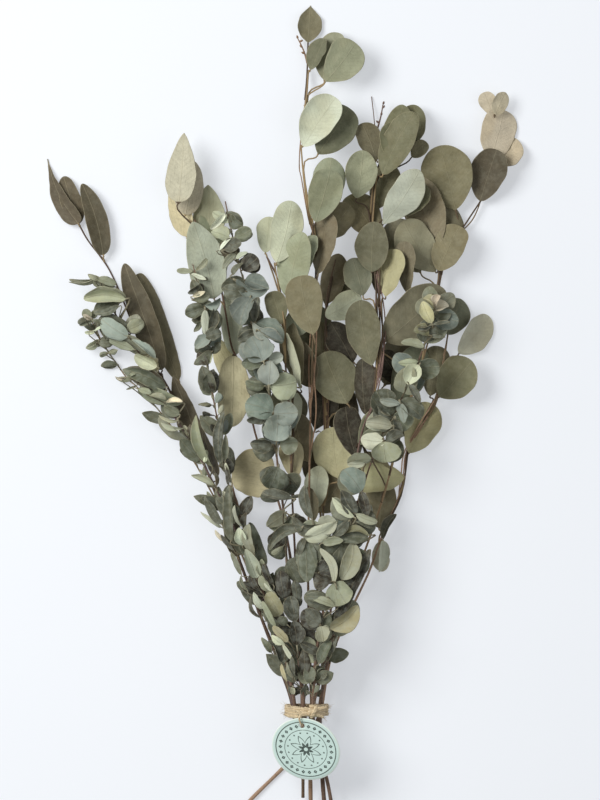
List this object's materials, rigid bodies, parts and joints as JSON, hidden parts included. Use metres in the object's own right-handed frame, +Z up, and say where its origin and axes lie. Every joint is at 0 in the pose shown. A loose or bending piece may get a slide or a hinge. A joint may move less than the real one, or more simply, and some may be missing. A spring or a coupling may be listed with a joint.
{
  "type": "bunch of dried eucalyptus",
  "caption": "Flat fan of dried eucalyptus sprays with round, long and small leaves, tied at the stems with jute twine and hung with a round card tag.",
  "frame": {"origin": "the flat spot under the tie, on the surface on which the bunch lies", "axes": "+Y along the stems to the leaf tips, +X to the right seen from above, +Z up from the surface"},
  "size_m": [0.3815, 0.6706, 0.066],
  "materials": {
    "silver_dollar_leaf": "matt dried leaf, sage to olive brown, on thin woody stems",
    "long_leaf": "matt dried leaf, dark olive brown to pale straw green, on woody stems",
    "small_leaf": "matt dried leaf with a pale bloom, grey green, on thin woody stems",
    "jute": "twisted natural fibre",
    "card": "uncoated pale green card with a dark printed ornament"
  },
  "bodies": {
    "root": {"silver_dollar_right_low": "silver_dollar_leaf", "silver_dollar_right": "silver_dollar_leaf", "silver_dollar_centre": "silver_dollar_leaf", "silver_dollar_mid_right": "silver_dollar_leaf", "silver_dollar_tall": "silver_dollar_leaf", "silver_dollar_pale": "silver_dollar_leaf", "long_leaf_dark": "long_leaf", "small_leaf_sprig": "small_leaf", "baby_blue_left": "small_leaf", "long_leaf_pale": "long_leaf", "baby_blue_curled": "small_leaf", "baby_blue_right": "small_leaf", "baby_blue_low_right": "small_leaf", "baby_blue_front": "small_leaf", "baby_blue_low": "small_leaf", "jute_wraps": "jute", "jute_knot": "jute", "card_tag": "card"}
  },
  "joints": []
}
